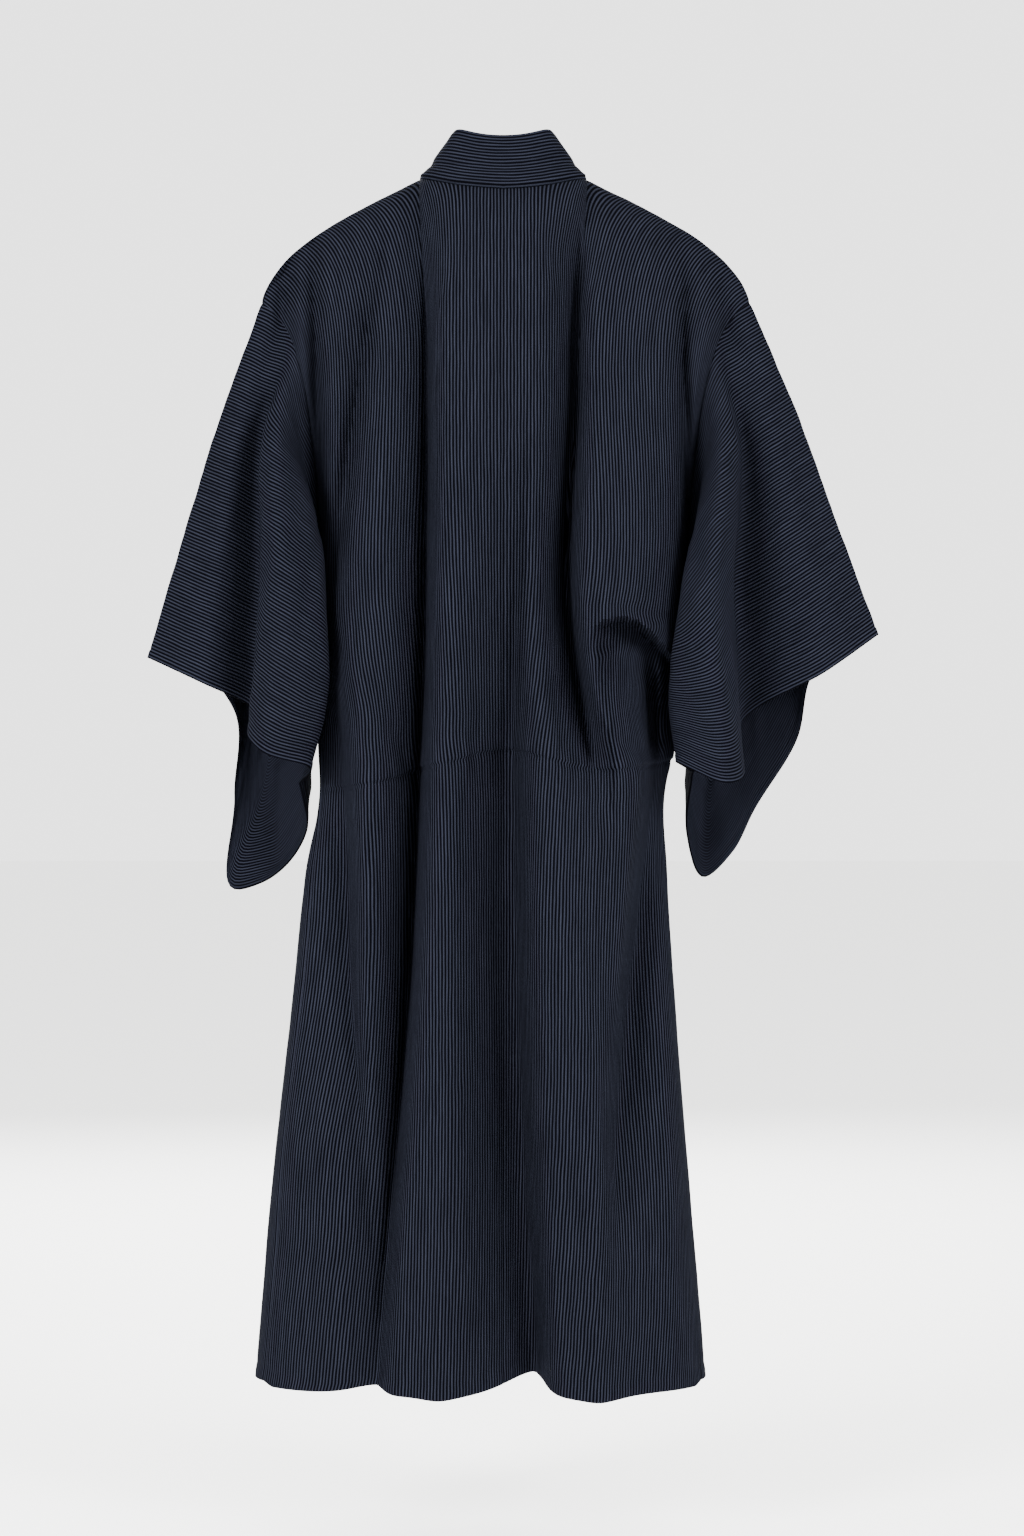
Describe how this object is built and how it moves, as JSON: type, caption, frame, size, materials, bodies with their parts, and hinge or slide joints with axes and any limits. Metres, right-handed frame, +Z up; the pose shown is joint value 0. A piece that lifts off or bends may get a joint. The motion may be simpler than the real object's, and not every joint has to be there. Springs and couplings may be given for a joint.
{
  "type": "kimono",
  "caption": "Long striped cotton robe with wide sleeves, crossed fronts and a standing collar, filled out as worn and open at neck, cuffs and hem.",
  "frame": {"origin": "in the middle of the neck opening, level with the sides of the neck, where the wearer's shoulders carry it", "axes": "+Z up, the front towards -Y, the wearer's left towards +X"},
  "size_m": [0.7963, 0.2682, 1.3437],
  "materials": {
    "striped_cotton": "matt, plain-woven cotton in navy with fine grey-blue stripes",
    "collar_cotton": "matt, the same cotton folded double"
  },
  "bodies": {
    "root": {"body_left": "striped_cotton", "body_right": "striped_cotton", "okumi_left": "striped_cotton", "okumi_right": "striped_cotton", "sleeve_left": "striped_cotton", "sleeve_right": "striped_cotton", "collar": "collar_cotton"}
  },
  "joints": []
}
